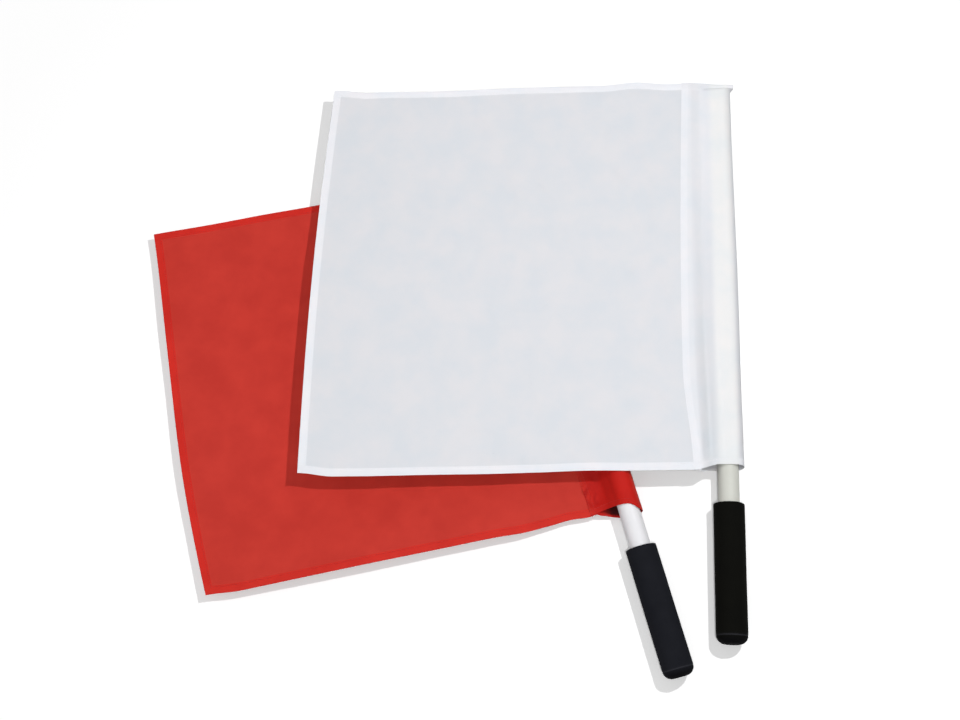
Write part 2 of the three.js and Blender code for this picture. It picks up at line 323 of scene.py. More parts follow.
def red_panel_height(across, height):
    seam = seam_place(RED, height)
    fly = fly_place(RED, height)
    fallen = ease((seam - across) / RED_FALL_REACH)
    near_fly = ease(1 - (across - fly) / RED_EDGE_REACH)
    near_foot = ease(1 - height / RED_EDGE_REACH)
    near_head = ease(1 - (RED.cloth_height - height) / RED_EDGE_REACH)
    wave = np.sin(math.pi * 2 * (across - height) / RED.wave_length)
    side_lift = near_foot * RED_FOOT_LIFT + near_head * RED_HEAD_LIFT
    lift = near_fly * RED.fly_height + (1 - near_fly) * side_lift
    low = RED_LOW_HEIGHT + lift + RED.wave_height * (1 + wave) / 2
    return blend(RED.seam_height, low, fallen)


# %% [markdown]
# Thin nylon is never quite smooth. Handling leaves broad shallow dents, the hems pucker a
# little between stitches, and a hem's fold makes its edge round. The small waves stay well
# under a millimetre, because the photographed cloth is flat and evenly lit.

# %% The panel's surface and thickness
DENT_HEIGHT = 0.3
DENT_LENGTH = 120.0
PUCKER_HEIGHT = 0.12
PUCKER_LENGTH = 11.0
STITCH_INSET = 1.3
GROOVE_DEPTH = 0.1
GROOVE_HALF_WIDTH = 0.9
SMOOTH_BESIDE_SEAM = 40.0
SMOOTH_BESIDE_EDGE = 30.0
PUCKER_DRIFT = 37.0
FOOT_HEM_PLIES = 0.75
HEM_LOOK_OVERLAP = 0.3
HEM_LOOK_BLUR = 0.9


def panel_edge(flag, across, height):
    """Distance from a point of the panel to its nearest hemmed edge, and whether that is the fly."""
    to_fly = across - fly_place(flag, height)
    to_side = np.minimum(height, flag.cloth_height - height)
    return np.minimum(to_fly, to_side), to_fly < to_side


def panel_surface(flag, across, height):
    seam = seam_place(flag, height)
    base = white_panel_height if flag is WHITE else red_panel_height
    surface = base(np.minimum(across, seam), height)
    to_edge, at_fly = panel_edge(flag, across, height)
    clear = ease((seam - across) / SMOOTH_BESIDE_SEAM)
    dents = DENT_HEIGHT * ripple(across, height, DENT_LENGTH, flag.dent_seed)
    along_edge = np.where(at_fly, height, across)
    uneven = 2 * np.sin(along_edge / PUCKER_DRIFT)
    puckers = PUCKER_HEIGHT * np.sin(along_edge * 2 * math.pi / PUCKER_LENGTH + uneven)
    near_hem = bump(to_edge, HEM_WIDTH, HEM_WIDTH)
    return surface + clear * (dents * ease(to_edge / SMOOTH_BESIDE_EDGE) + puckers * near_hem)


def panel_thickness(flag, across, height):
    to_edge = panel_edge(flag, across, height)[0]
    in_hem = 1 - ease((to_edge - HEM_WIDTH) / HEM_RAMP)
    groove = GROOVE_DEPTH * bump(to_edge, HEM_WIDTH - STITCH_INSET, GROOVE_HALF_WIDTH)
    return (blend(PLY, HEM_THICKNESS, in_hem) - 2 * groove) * round_edge(to_edge, HEM_THICKNESS / 2)


def panel_plies(flag, across, height):
    """How full the cloth looks: 0 in one ply, 1 in a hem, a little less in the foot's hem."""
    to_edge = panel_edge(flag, across, height)[0]
    at_foot = ease(1 - height / (2 * HEM_WIDTH))
    in_hem = 1 - ease((to_edge - HEM_WIDTH + HEM_LOOK_OVERLAP) / HEM_LOOK_BLUR)
    return blend(1.0, FOOT_HEM_PLIES, at_foot) * in_hem


# %% [markdown]
# A thin closed solid is a front grid and a back grid joined along their rims. Building it
# from grids, and not with a Solidify modifier, lets the thickness vary from one ply to a
# rolled hem. Each corner also stores where it lies on the flat cloth, which the weave
# follows, and how many plies lie there, which changes the cloth's brightness.

# %% Mesh helpers
def grid_faces(rows, columns):
    """Quads of a closed solid: the front grid, the back grid and the rim between them."""
    count = rows * columns
    index = np.arange(count).reshape(rows, columns)
    a, b, c, d = index[:-1, :-1], index[:-1, 1:], index[1:, 1:], index[1:, :-1]
    front = np.stack([a, b, c, d], -1).reshape(-1, 4)
    back = np.stack([a, d, c, b], -1).reshape(-1, 4) + count
    rims = []
    for line in (index[0], index[:, -1], index[-1, ::-1], index[::-1, 0]):
        rims.append(np.stack([line[:-1], line[:-1] + count, line[1:] + count, line[1:]], -1))
    return np.concatenate([front, back, *rims])


def mesh_object(name, points, faces, material, smooth_angle=50):
    mesh = bpy.data.meshes.new(name)
    mesh.from_pydata(points.reshape(-1, 3).tolist(), [], faces.tolist())
    mesh.validate()
    mesh.materials.append(material)
    piece = add_object(name, mesh)
    mesh.polygons.foreach_set("use_smooth", np.ones(len(mesh.polygons), bool))
    mesh.set_sharp_from_angle(angle=math.radians(smooth_angle))
    return piece


def store_cloth_map(piece, flat):
    """Writes the flat cloth's coordinates, in metres, as a UV map."""
    mesh = piece.data
    layer = mesh.uv_layers.new(name="cloth")
    corner_vertex = np.empty(len(mesh.loops), int)
    mesh.loops.foreach_get("vertex_index", corner_vertex)
    layer.data.foreach_set("uv", (flat.reshape(-1, 2)[corner_vertex] * MM).ravel())


def store_look(piece, name, values):
    """Writes one value per point, which the piece's material reads by its name."""
    attribute = piece.data.attributes.new(name, "FLOAT", "POINT")
    attribute.data.foreach_set("value", np.asarray(values, float).ravel())


# %% [markdown]
# Colours are written as the sRGB values that a picture shows, and one function turns them to
# the linear values that the renderer works in. One small function adds a node with its
# settings and its links, so a material reads as a list of what it does. Another lays colours
# over each other where a piece's own attributes say.

# %% Colour and node helpers
def linear(hex_colour):
    channels = [int(hex_colour[i:i + 2], 16) / 255 for i in (1, 3, 5)]
    return (*[c / 12.92 if c <= 0.04045 else ((c + 0.055) / 1.055) ** 2.4 for c in channels], 1.0)


def add_node(tree, kind, inputs=None, **settings):
    """Adds a node. inputs maps a socket's name or number to a value, a socket or a node.

    A node stands for its first output that is in use.
    """
    node = tree.nodes.new(kind)
    for name, value in settings.items():
        setattr(node, name, value)
    for key, value in (inputs or {}).items():
        if isinstance(value, bpy.types.Node):
            value = next(socket for socket in value.outputs if socket.enabled)
        if isinstance(value, bpy.types.NodeSocket):
            tree.links.new(value, node.inputs[key])
        else:
            node.inputs[key].default_value = value
    return node


def empty_tree(owner):
    """The node tree of a material, a lamp or the sky, with nothing in it yet."""
    owner.use_nodes = True
    owner.node_tree.nodes.clear()
    return owner.node_tree


def new_material(name):
    """An empty material, its node tree, and the place on the object, which its patterns follow."""
    material = bpy.data.materials.new(name)
    tree = empty_tree(material)
    return material, tree, add_node(tree, "ShaderNodeTexCoord").outputs["Object"]


def lay_over(tree, colour, looks):
    """Lays further colours over one, each as far as the point attribute of its name says."""
    for look, laid in looks.items():
        near = add_node(tree, "ShaderNodeAttribute", attribute_name=look).outputs["Fac"]
        colour = add_node(tree, "ShaderNodeMix", {"Factor": near, "A": colour, "B": linear(laid)},
                          data_type="RGBA")
    return colour


def finished(material, shader):
    add_node(material.node_tree, "ShaderNodeOutputMaterial", {"Surface": shader})
    return material


# %% [markdown]
# The cloth is nylon taffeta: a plain weave of shiny filament yarn, dyed in the piece. One ply
# lets a little light through and looks greyer; where it is doubled in a hem or the casing it
# looks fuller and brighter. Over the pipe it takes on the pipe's plain white. The valley beside
# the pipe and the creases at the mouth are darkened with painted shade, and so is the inner face
# of the mouth. The threads lie about 0.3 mm apart, too fine for this picture, so the weave is
# drawn at 0.8 mm, where a close view can still resolve it.

# %% Cloth material
WEAVE_SPACING = 0.8 * MM
WEAVE_DEPTH = 0.05 * MM
MOTTLE_SIZE = 32 * MM
MOTTLE_LOW = 0.34
MOTTLE_HIGH = 0.66


def woven_nylon(name, one_ply, many_plies, over_pipe, painted_fold_shade, shade, painted_mouth_shade, sheen):
    material, tree, place = new_material(name)
    flat = add_node(tree, "ShaderNodeUVMap", uv_map="cloth")
    threads = add_node(tree, "ShaderNodeVectorMath", {
        0: flat, "Scale": 1 / WEAVE_SPACING}, operation="SCALE")
    split = add_node(tree, "ShaderNodeSeparateXYZ", {0: threads}).outputs
    ridges = []
    for axis in ("X", "Y"):
        turn = add_node(tree, "ShaderNodeMath", {0: split[axis], 1: math.pi}, operation="MULTIPLY")
        wave = add_node(tree, "ShaderNodeMath", {0: turn}, operation="SINE")
        ridges.append(add_node(tree, "ShaderNodeMath", {0: wave}, operation="ABSOLUTE"))
    over_under = add_node(tree, "ShaderNodeTexChecker", {
        "Vector": threads, "Scale": 1.0, "Color1": (1, 1, 1, 1), "Color2": (0, 0, 0, 1)})
    weave = add_node(tree, "ShaderNodeMix", {
        "Factor": over_under.outputs["Fac"], "A": ridges[0], "B": ridges[1]})
    # The fold colour is painted shade, laid in the valley beside the pipe and in the creases at the mouth.
    looks = {"plies": many_plies, "on_pipe": over_pipe, "painted_fold_shade": painted_fold_shade}
    body = lay_over(tree, linear(one_ply), looks)
    mottle = add_node(tree, "ShaderNodeTexNoise", {
        "Vector": place, "Scale": 1 / MOTTLE_SIZE, "Detail": 3.0, "Roughness": 0.55})
    depth = add_node(tree, "ShaderNodeMapRange", {
        "Value": mottle, "From Min": MOTTLE_LOW, "From Max": MOTTLE_HIGH})
    mottled = add_node(tree, "ShaderNodeMix", {
        "Factor": depth, "A": linear(shade), "B": (1, 1, 1, 1)}, data_type="RGBA")
    uneven = add_node(tree, "ShaderNodeMix", {"Factor": 1.0, "A": body, "B": mottled},
                      data_type="RGBA", blend_type="MULTIPLY")
    # Painted shade: this point attribute darkens the inside of the casing's mouth by multiplying its
    # colour.
    inside = add_node(tree, "ShaderNodeAttribute", attribute_name="painted_mouth_shade").outputs["Fac"]
    dust_and_painted_shade = add_node(tree, "ShaderNodeMix", {"Factor": inside, "A": uneven, "B": linear(painted_mouth_shade)},
                    data_type="RGBA", blend_type="MULTIPLY")
    relief = add_node(tree, "ShaderNodeBump", {"Height": weave, "Strength": 0.5, "Distance": WEAVE_DEPTH})
    shader = add_node(tree, "ShaderNodeBsdfPrincipled", {
        "Base Color": dust_and_painted_shade, "Roughness": 0.7, "IOR": 1.53,
        "Specular IOR Level": 0.15, "Sheen Weight": sheen, "Sheen Roughness": 0.45,
        "Normal": relief})
    return finished(material, shader)


# Of each flag's colours, the fourth is painted shade for the valley and the creases, and the sixth is
# painted shade for the inside of the mouth.
nylons = {
    "white": woven_nylon("white_woven_nylon", "#e4e4e8", "#f5f4f8", "#f2f1f1", "#d8dadd",
                         "#f8fcfe", "#d8d8da", 0.04),
    "red": woven_nylon("red_woven_nylon", "#c9372c", "#d42a20", "#c41b12", "#ad120b",
                       "#f3e9e9", "#502020", 0.03),
}
print("cloth materials:", [nylon.name for nylon in nylons.values()])

# %% [markdown]
# The panels come next. Grid lines crowd together at the edges, where the hem rolls over and
# the stitch line draws it in, and spread to 3 mm in the open cloth.

# %% The panels
EDGE_STEPS = [
    0, 0.04, 0.14, 0.3, 0.48, 1.2, 2.4, 3.8, 5.2, 5.8,
    6.3, 6.7, 7.1, 7.6, 8.0, 8.25, 8.5, 8.75, 9.0, 10.2,
]
OPEN_STEP = 3.0


def panel_lines(length, hem_at_end):
    """Places of grid lines from one hemmed edge to the other edge, which may have no hem."""
    first = np.array(EDGE_STEPS)
    last = length - first[::-1] if hem_at_end else np.array([length])
    count = int((last[0] - first[-1]) / OPEN_STEP)
    return np.concatenate([first[:-1], np.linspace(first[-1], last[0], count), last[1:]])


def make_panel(flag):
    heights = panel_lines(flag.cloth_height, True)[:, None]
    shares = panel_lines(flag.fly_reach_foot - flag.seam_reach, False)
    width = seam_place(flag, heights) - fly_place(flag, heights)
    stretch = (width - EDGE_STEPS[-1]) / (shares[-1] - EDGE_STEPS[-1])
    inner = EDGE_STEPS[-1] + (shares - EDGE_STEPS[-1]) * stretch
    from_fly = np.where(shares > EDGE_STEPS[-1], inner, shares)
    lap = width + np.array([[CASING_LAP / 2, CASING_LAP]])
    across = fly_place(flag, heights) + np.concatenate([from_fly, lap], axis=1)
    heights = np.broadcast_to(heights, across.shape)
    surface = panel_surface(flag, across, heights)
    half = panel_thickness(flag, across, heights) / 2
    along = along_pole(flag, across, heights)
    points = np.stack([to_world(flag, across, along, surface + side * half) for side in (1, -1)])
    piece = mesh_object(flag.name + "_flag_panel", points, grid_faces(*across.shape), nylons[flag.name])
    flat = np.stack([across, heights], -1)
    plies = panel_plies(flag, across, heights)
    store_cloth_map(piece, np.stack([flat, flat]))
    store_look(piece, "plies", np.stack([plies, plies]))
    return piece


panels = {flag.name: make_panel(flag) for flag in FLAGS}
print("panel faces:", [len(panel.data.polygons) for panel in panels.values()])

# %% [markdown]
# The casing is a strip of the same nylon folded round the pole. Both its plies are turned in
# and sewn over the panel's edge. Beside the pole the upper ply dips into a valley, at the
# mouth it is hemmed and stands a little loose, and at the head it is drawn flat and sewn
# shut, so the cloth that went round the pole stands out as an ear.

# %% The casing's section
SECTION_LAP_PLACES = np.array([0, 0.06, 0.18, 0.35, 0.6, 1.1, 1.6, 2.2, 3.0, 4.0, 4.9, 5.4, 6.0, 6.5])
SECTION_TOP_STEPS = 46
SECTION_NOSE_STEPS = 34
CASING_ROW_STEP = 3.0
CASING_TOP_ROWS = 24
CASING_SEAL_LENGTH = 4.5
LAP_AIR = 0.04
SEAM_ROWS = (1.6, 5.4)
MOUTH_UPPER_REACH = 25.0
MOUTH_LOWER_REACH = 24.0
MOUTH_UPPER_START = -1.5
MOUTH_LOWER_START = -33.0
LOWER_PLY_REACH = 7.0
MOUTH_CREASE_HEIGHT = 21.0
MOUTH_CREASE_DEPTH = 0.45
MOUTH_CREASE_HALF_WIDTH = 3.5
MOUTH_CREASE_FADE = 8.0
CREASE_SHADE_SHIFT = -3.6
VALLEY_PLACE_FOOT = -18.0
VALLEY_PLACE_HEAD = -24.0
VALLEY_HALF_WIDTH = 13.0
VALLEY_SOFTNESS = 2.0
VALLEY_POWER = 1.4
VALLEY_TURN_HEIGHT = 200.0
VALLEY_FIRST_SHARE = 0.2
VALLEY_FULL_FROM = 4.0
VALLEY_FULL_OVER = 18.0
VALLEY_LEFT_AT_MOUTH = 0.45
LOWER_PLY_SLACK = 0.6


def in_mouth_hem(height):
    return 1 - ease((height - CASING_MOUTH_HEM) / HEM_RAMP)


def lap_offset(flag, height):
    """Half the stack at the seam: half the panel, a hair of air and half the casing's ply."""
    to_side = min(height, flag.cloth_height - height)
    panel = blend(PLY, HEM_THICKNESS, 1 - ease((to_side - HEM_WIDTH) / HEM_RAMP))
    return (panel + blend(PLY, HEM_THICKNESS, in_mouth_hem(height))) / 2 + LAP_AIR


def casing_closed(flag, height):
    """0 where the casing is round the pole, 1 in the flat sewn strip along its top edge."""
    closing = CASING_CLOSE_LENGTH - CASING_SEAL_LENGTH
    return float(ease(1 - (flag.cloth_height - CASING_SEAL_LENGTH - height) / closing))


def valley_share(across, height):
    """How near a point of the upper ply lies to the bottom of the valley beside the pole."""
    place = blend(VALLEY_PLACE_FOOT, VALLEY_PLACE_HEAD, ease(height / VALLEY_TURN_HEIGHT))
    away = np.hypot(across - place, VALLEY_SOFTNESS) / VALLEY_HALF_WIDTH
    return np.clip(1 - away, 0, 1) ** VALLEY_POWER


def casing_section(flag, height):
    """Middle line of the two plies at one height: from the seam, over the pole, and back.

    Also gives how far each point belongs to the lower ply, from 0 to 1.
    """
    closed = casing_closed(flag, height)
    open_share = 1 - closed
    radius = blend(CASING_RADIUS, CASING_CLOSED_RADIUS, closed)
    nose_slack = flag.nose_slack * ease((flag.cloth_height - height) / CASING_NOSE_REACH)
    nose_shift = nose_slack + flag.mouth_shift * (1 - ease(height / CASING_MOUTH_REACH))
    nose_centre = nose_shift + EAR_REACH * (CASING_RADIUS - radius)
    seam = seam_place(flag, height)
    lap_height = lap_offset(flag, height)
    upwards = ease(height / (flag.cloth_height / 2))
    valley = blend(flag.valley_foot, flag.valley_head, upwards) * open_share
    share = np.linspace(0, 1, SECTION_TOP_STEPS, endpoint=False)
    across = blend(seam + CASING_LAP, nose_centre, share)
    at_mouth = blend(VALLEY_LEFT_AT_MOUTH, 1, ease((height - VALLEY_FULL_FROM) / VALLEY_FULL_OVER))
    dip = valley * at_mouth * valley_share(across, height) * ease(share / VALLEY_FIRST_SHARE)
    free = blend(flag.seam_height + lap_height, AXIS_HEIGHT + radius, ease(share)) - dip
    slack = blend(LOWER_PLY_SLACK, 1, closed)
    under = blend(flag.seam_height - lap_height, AXIS_HEIGHT - radius, ease(share ** slack))
    laid = CASING_TOUCH_SOFTNESS * open_share * np.sin(math.pi * share) ** 2
    over_pole = np.sqrt(np.clip(radius ** 2 - across ** 2, 0, None)) - np.clip(-across - radius, 0, None)
    clear = over_pole * open_share - CASING_RELEASE * closed
    upper = soft_max(free, AXIS_HEIGHT + clear, laid)
    lower = soft_min(under, AXIS_HEIGHT - clear, laid)
    turn = np.linspace(0, 1, SECTION_NOSE_STEPS)
    angle = math.pi / 2 * (1 - 2 * turn)
    nose = np.stack([nose_centre + radius * np.cos(angle), AXIS_HEIGHT + radius * np.sin(angle)], -1)
    places = np.concatenate([seam + SECTION_LAP_PLACES, across])
    plies = []
    for side, ply in ((1, upper), (-1, lower)):
        sewn = np.full(len(SECTION_LAP_PLACES), flag.seam_height + side * lap_height)
        plies.append(np.stack([places, np.concatenate([sewn, ply])], -1))
    in_lower = np.concatenate([np.zeros(len(places)), turn, np.ones(len(places))])
    return np.concatenate([plies[0], nose, plies[1][::-1]]), in_lower


def section_normals(section):
    step = np.gradient(section, axis=0)
    length = np.linalg.norm(step, axis=1, keepdims=True)
    return np.stack([-step[:, 1], step[:, 0]], -1) / length


# %% [markdown]
# One function places any point of the casing, so the sewn rows can be laid on it later by the
# same rule. The mouth of the lower flag is pulled askew on its pole: its lower ply and its
# outer side hang below the upper ply, which leaves the inside of the mouth open to view; that
# inside is darkened with painted shade.

# %% Points of the casing
def mouth_drop(flag, across, in_lower, height):
    start = blend(MOUTH_UPPER_START, MOUTH_LOWER_START, in_lower)
    reach = blend(MOUTH_UPPER_REACH, MOUTH_LOWER_REACH, in_lower)
    whole = flag.mouth_drop * ease((across - start) / reach)
    lower = flag.lower_ply_drop * in_lower * ease((across - MOUTH_LOWER_START) / LOWER_PLY_REACH)
    return (whole + lower) * (1 - ease(height / CASING_MOUTH_REACH))


def bent_creases(flag, across, height, shift=0.0):
    """Short curved creases beside the mouth: raised arcs, open to the right."""
    total = np.zeros_like(across)
    for centre, level, radius, half_width, rise in flag.creases:
        away = np.hypot(across - centre, height - level)
        total += rise * bump(away, radius + shift, half_width) * ease((centre - across) / radius + 0.5)
    return total


def casing_line(flag, height):
    """The casing at one height: its middle line, its normals, its length along and its thickness."""
    section, in_lower = casing_section(flag, height)
    normal = section_normals(section)
    path = np.concatenate([[0], np.cumsum(np.linalg.norm(np.diff(section, axis=0), axis=1))])
    to_seam = np.minimum(path, path[-1] - path)
    crease = MOUTH_CREASE_DEPTH * bump(height, MOUTH_CREASE_HEIGHT, MOUTH_CREASE_HALF_WIDTH)
    crease = crease * ease((to_seam - CASING_LAP) / MOUTH_CREASE_FADE)
    dent = crease - bent_creases(flag, section[:, 0], height)
    section = section - normal * (dent * (1 - in_lower))[:, None]
    rows = sum(bump(to_seam, place, GROOVE_HALF_WIDTH) for place in SEAM_ROWS)
    hem_row = bump(height, CASING_MOUTH_HEM - STITCH_INSET, GROOVE_HALF_WIDTH)
    thick = blend(PLY, HEM_THICKNESS, in_mouth_hem(height)) - 2 * GROOVE_DEPTH * np.maximum(rows, hem_row)
    thick = thick * round_edge(height, HEM_THICKNESS / 2) * round_edge(to_seam, PLY / 2)
    return SimpleNamespace(
        section=section, normal=normal, path=path, to_seam=to_seam, thick=thick, in_lower=in_lower)


def casing_points(flag, height, line, lift):
    """World points at a signed distance, in millimetres, from the casing's middle line."""
    place = line.section + line.normal * np.reshape(lift, (-1, 1))
    drop = mouth_drop(flag, place[:, 0], line.in_lower, height)
    return to_world(flag, place[:, 0], along_pole(flag, place[:, 0], height) - drop, place[:, 1])


def casing_heights(flag):
    mouth = np.array(EDGE_STEPS)
    mouth = mouth[mouth <= CASING_MOUTH_HEM + HEM_RAMP]
    close_foot = flag.cloth_height - CASING_CLOSE_LENGTH
    count = int((close_foot - mouth[-1]) / CASING_ROW_STEP)
    body = np.linspace(mouth[-1], close_foot, count)
    top = np.linspace(close_foot, flag.cloth_height, CASING_TOP_ROWS)
    return np.concatenate([mouth, body[1:], top[1:]])


# %% The casings
BESIDE_LAP_PLIES = 0.5
BESIDE_LAP_REACH = 16.0
HEAD_PLIES = 0.4
HEAD_PLIES_FROM = 180.0
HEAD_PLIES_OVER = 200.0
MOUTH_HEM_PLIES = 0.75
LAP_PLIES = 0.8
LAP_LOOK_INSET = 0.6
LAP_LOOK_FADE = 1.4
GAP_SHADE_HEIGHT = 260.0
ON_PIPE_OVERHANG = 1.0
ON_PIPE_FADE = 6.0
MOUTH_SHADE_REACH = 30.0
MOUTH_SHADE_FADE = 16.0
MOUTH_SHADE_EDGE = 0.8
MOUTH_SHADE_EDGE_FADE = 2.5


def casing_plies(flag, line, height):
    """How full the cloth looks: most in the lap and the mouth's hem."""
    beyond_lap = line.to_seam - CASING_LAP
    in_lap = 1 - ease((beyond_lap + LAP_LOOK_INSET) / LAP_LOOK_FADE)
    beside_lap = BESIDE_LAP_PLIES * ease(1 - beyond_lap / BESIDE_LAP_REACH)
    near_head = HEAD_PLIES * ease((height - HEAD_PLIES_FROM) / HEAD_PLIES_OVER)
    full = blend(np.maximum(beside_lap, near_head), MOUTH_HEM_PLIES, in_mouth_hem(height))
    return blend(full, LAP_PLIES, in_lap) * flag.casing_plies


def casing_painted_fold_shade(flag, line, height):
    """How much painted shade darkens the valley and the creases: most at the valley's foot, none at its
    head.
    """
    across = line.section[:, 0]
    share = valley_share(across + flag.gap_shift, height) ** flag.gap_softness
    share = share * ease(1 - height / GAP_SHADE_HEIGHT) * flag.gap_share
    # The creases' inner flanks get the same painted shade as the valley.
    share = np.maximum(share, bent_creases(flag, across, height, CREASE_SHADE_SHIFT))
    return share * (1 - line.in_lower)


def casing_on_pipe(flag, line, height):
    """How far the cloth is drawn over the pipe, from 0 to 1: the same at every height."""
    across = line.section[:, 0]
    drawn = ease((across - flag.drawn_from) / flag.drawn_over)
    return drawn * ease((CASING_RADIUS + ON_PIPE_OVERHANG - across) / ON_PIPE_FADE)


def casing_mouth_painted_shade(flag, line, height):
    """Painted shade on the inner face of the mouth: most beside the pole, none on its very edge."""
    beside_pole = ease((line.section[:, 0] + MOUTH_SHADE_REACH) / MOUTH_SHADE_FADE)
    return beside_pole * ease((height - MOUTH_SHADE_EDGE) / MOUTH_SHADE_EDGE_FADE)


# Every look is worked out from the flag, its casing's line at one height, and that height.
CASING_LOOKS = {
    "plies": casing_plies, "painted_mouth_shade": casing_mouth_painted_shade, "on_pipe": casing_on_pipe, "painted_fold_shade": casing_painted_fold_shade,
}


def make_casing(flag):
    lines = [(height, casing_line(flag, height)) for height in casing_heights(flag)]
    faces = [[casing_points(flag, height, line, side * line.thick / 2) for height, line in lines]
             for side in (1, -1)]
    flat = np.array([np.stack([line.path, np.full(len(line.path), height)], -1)
                     for height, line in lines])
    piece = mesh_object(
        flag.name + "_flag_casing", np.array(faces), grid_faces(*flat.shape[:2]), nylons[flag.name])
    store_cloth_map(piece, np.stack([flat, flat]))
    for name, look in CASING_LOOKS.items():
        inner = np.array([look(flag, line, height) for height, line in lines])
        # Only the inner face gets the painted shade of the mouth.
        outer = np.zeros(inner.shape) if name == "painted_mouth_shade" else inner
        store_look(piece, name, np.stack([outer, inner]))
    piece["section_mm"] = float(flat[len(flat) // 2, -1, 0])
    return piece


casings = {flag.name: make_casing(flag) for flag in FLAGS}
print("casing strip widths, mm:", [round(casing["section_mm"]) for casing in casings.values()])

# %% [markdown]
# Sewing is the same small stitch repeated along a path, which is work for Geometry Nodes: the
# rows are curves laid on the cloth, and the tree sets one short, slightly turned thread on
# every step of them. Real stitches are about 2.5 mm long with a short dip between them. Both
# faces of a hem show a row, because the thread goes through the whole stack.

# %% A tree that sews
STITCH_PITCH = 3.1
STITCH_LENGTH = 2.5
THREAD_RADIUS = 0.2
STITCH_WOBBLE = 0.05
STITCH_SEED = 7


def sewing_tree():
    tree = bpy.data.node_groups.new("sewn_rows", "GeometryNodeTree")
    inputs = (
        ("Rows", "Geometry", None), ("Pitch", "Float", STITCH_PITCH * MM),
        ("Length", "Float", STITCH_LENGTH * MM), ("Thread Radius", "Float", THREAD_RADIUS * MM),
        ("Wobble", "Float", STITCH_WOBBLE), ("Seed", "Int", STITCH_SEED), ("Thread", "Material", None),
    )
    for name, kind, value in inputs:
        socket = tree.interface.new_socket(name, in_out="INPUT", socket_type="NodeSocket" + kind)
        if value is not None:
            socket.default_value = value
    tree.interface.new_socket("Stitches", in_out="OUTPUT", socket_type="NodeSocketGeometry")
    given = add_node(tree, "NodeGroupInput").outputs
    steps = add_node(tree, "GeometryNodeResampleCurve", {
        "Curve": given["Rows"], "Length": given["Pitch"]}, mode="LENGTH")
    tangent = add_node(tree, "GeometryNodeInputTangent")
    along = add_node(tree, "FunctionNodeAlignRotationToVector", {"Vector": tangent}, axis="X")
    low = add_node(tree, "ShaderNodeMath", {0: given["Wobble"], 1: -1.0}, operation="MULTIPLY")
    dice = add_node(tree, "FunctionNodeRandomValue", {
        "Min": low, "Max": given["Wobble"], "Seed": given["Seed"]}, data_type="FLOAT_VECTOR")
    turn = add_node(tree, "FunctionNodeEulerToRotation", {0: dice})
    wobbled = add_node(tree, "FunctionNodeRotateRotation", {0: along, 1: turn}, rotation_space="LOCAL")
    grain = add_node(tree, "GeometryNodeMeshUVSphere", {"Segments": 8, "Rings": 5, "Radius": 1.0})
    half = add_node(tree, "ShaderNodeMath", {0: given["Length"], 1: 0.5}, operation="MULTIPLY")
    size = add_node(tree, "ShaderNodeCombineXYZ", {
        "X": half, "Y": given["Thread Radius"], "Z": given["Thread Radius"]})
    laid = add_node(tree, "GeometryNodeInstanceOnPoints", {
        "Points": steps, "Instance": grain, "Rotation": wobbled, "Scale": size})
    real = add_node(tree, "GeometryNodeRealizeInstances", {0: laid})
    smooth = add_node(tree, "GeometryNodeSetShadeSmooth", {0: real})
    dyed = add_node(tree, "GeometryNodeSetMaterial", {"Geometry": smooth, "Material": given["Thread"]})
    add_node(tree, "NodeGroupOutput", {"Stitches": dyed})
    return tree


def sew(name, rows, tree, thread):
    """Turns rows of world points into one plain mesh of stitches."""
    curve = bpy.data.curves.new(name, "CURVE")
    curve.dimensions = "3D"
    for row in rows:
        spline = curve.splines.new("POLY")
        spline.points.add(len(row) - 1)
        spline.points.foreach_set("co", np.concatenate([row, np.ones((len(row), 1))], axis=1).ravel())
    guide = add_object(name + "_rows", curve)
    modifier = guide.modifiers.new("sewing", "NODES")
    modifier.node_group = tree
    sockets = {item.name: item.identifier for item in tree.interface.items_tree if item.in_out == "INPUT"}
    modifier[sockets["Thread"]] = thread
    sewn = bpy.data.meshes.new_from_object(guide.evaluated_get(bpy.context.evaluated_depsgraph_get()))
    bpy.data.objects.remove(guide)
    return add_object(name, sewn)


# %% [markdown]
# A row lies a set distance inside an edge, on the cloth's face and a thread's thickness proud
# of it. The panel has one row along each hem. The casing has two rows through the lap, one
# round the mouth's hem and one that closes its top.

# %% The rows
ROW_PROUD = 0.07
ROW_STEP = 3.0
CLOSING_ROW_INSET = 2.4


def panel_row(flag, across, height, side):
    across, height = np.broadcast_arrays(np.asarray(across, float), np.asarray(height, float))
    half = panel_thickness(flag, across, height) / 2 + ROW_PROUD
    up = panel_surface(flag, across, height) + side * half
    return to_world(flag, across, along_pole(flag, across, height), up)


def panel_rows(flag):
    inset = HEM_WIDTH - STITCH_INSET
    up = np.arange(inset, flag.cloth_height - inset, ROW_STEP)
    rows = []
    for side in (1, -1):
        rows.append(panel_row(flag, fly_place(flag, up) + inset, up, side))
        for height in (inset, flag.cloth_height - inset):
            places = np.arange(fly_place(flag, height) + inset, seam_place(flag, height), ROW_STEP)
            rows.append(panel_row(flag, places, height, side))
    return rows


def casing_rows(flag):
    rows = []
    lines = [(height, casing_line(flag, height)) for height in casing_heights(flag)[::2]]
    for from_seam in SEAM_ROWS:
        for face in (0, 1):
            row = []
            for height, line in lines:
                places = casing_points(flag, height, line, line.thick / 2 + ROW_PROUD)
                target = from_seam if face == 0 else line.path[-1] - from_seam
                row.append([np.interp(target, line.path, places[:, axis]) for axis in range(3)])
            rows.append(np.array(row))
    for height in (CASING_MOUTH_HEM - STITCH_INSET, flag.cloth_height - CLOSING_ROW_INSET):
        line = casing_line(flag, height)
        rows.append(casing_points(flag, height, line, line.thick / 2 + ROW_PROUD)[3:-3:2])
    return rows


# %% [markdown]
# Sewing thread is spun polyester, dyed to match: rounder and a little glossier than the cloth,
# with a fine twist that breaks up its highlights.

# %% Thread material and the sewing
TWIST_SIZE = 0.5 * MM
TWIST_DEPTH = 0.05 * MM


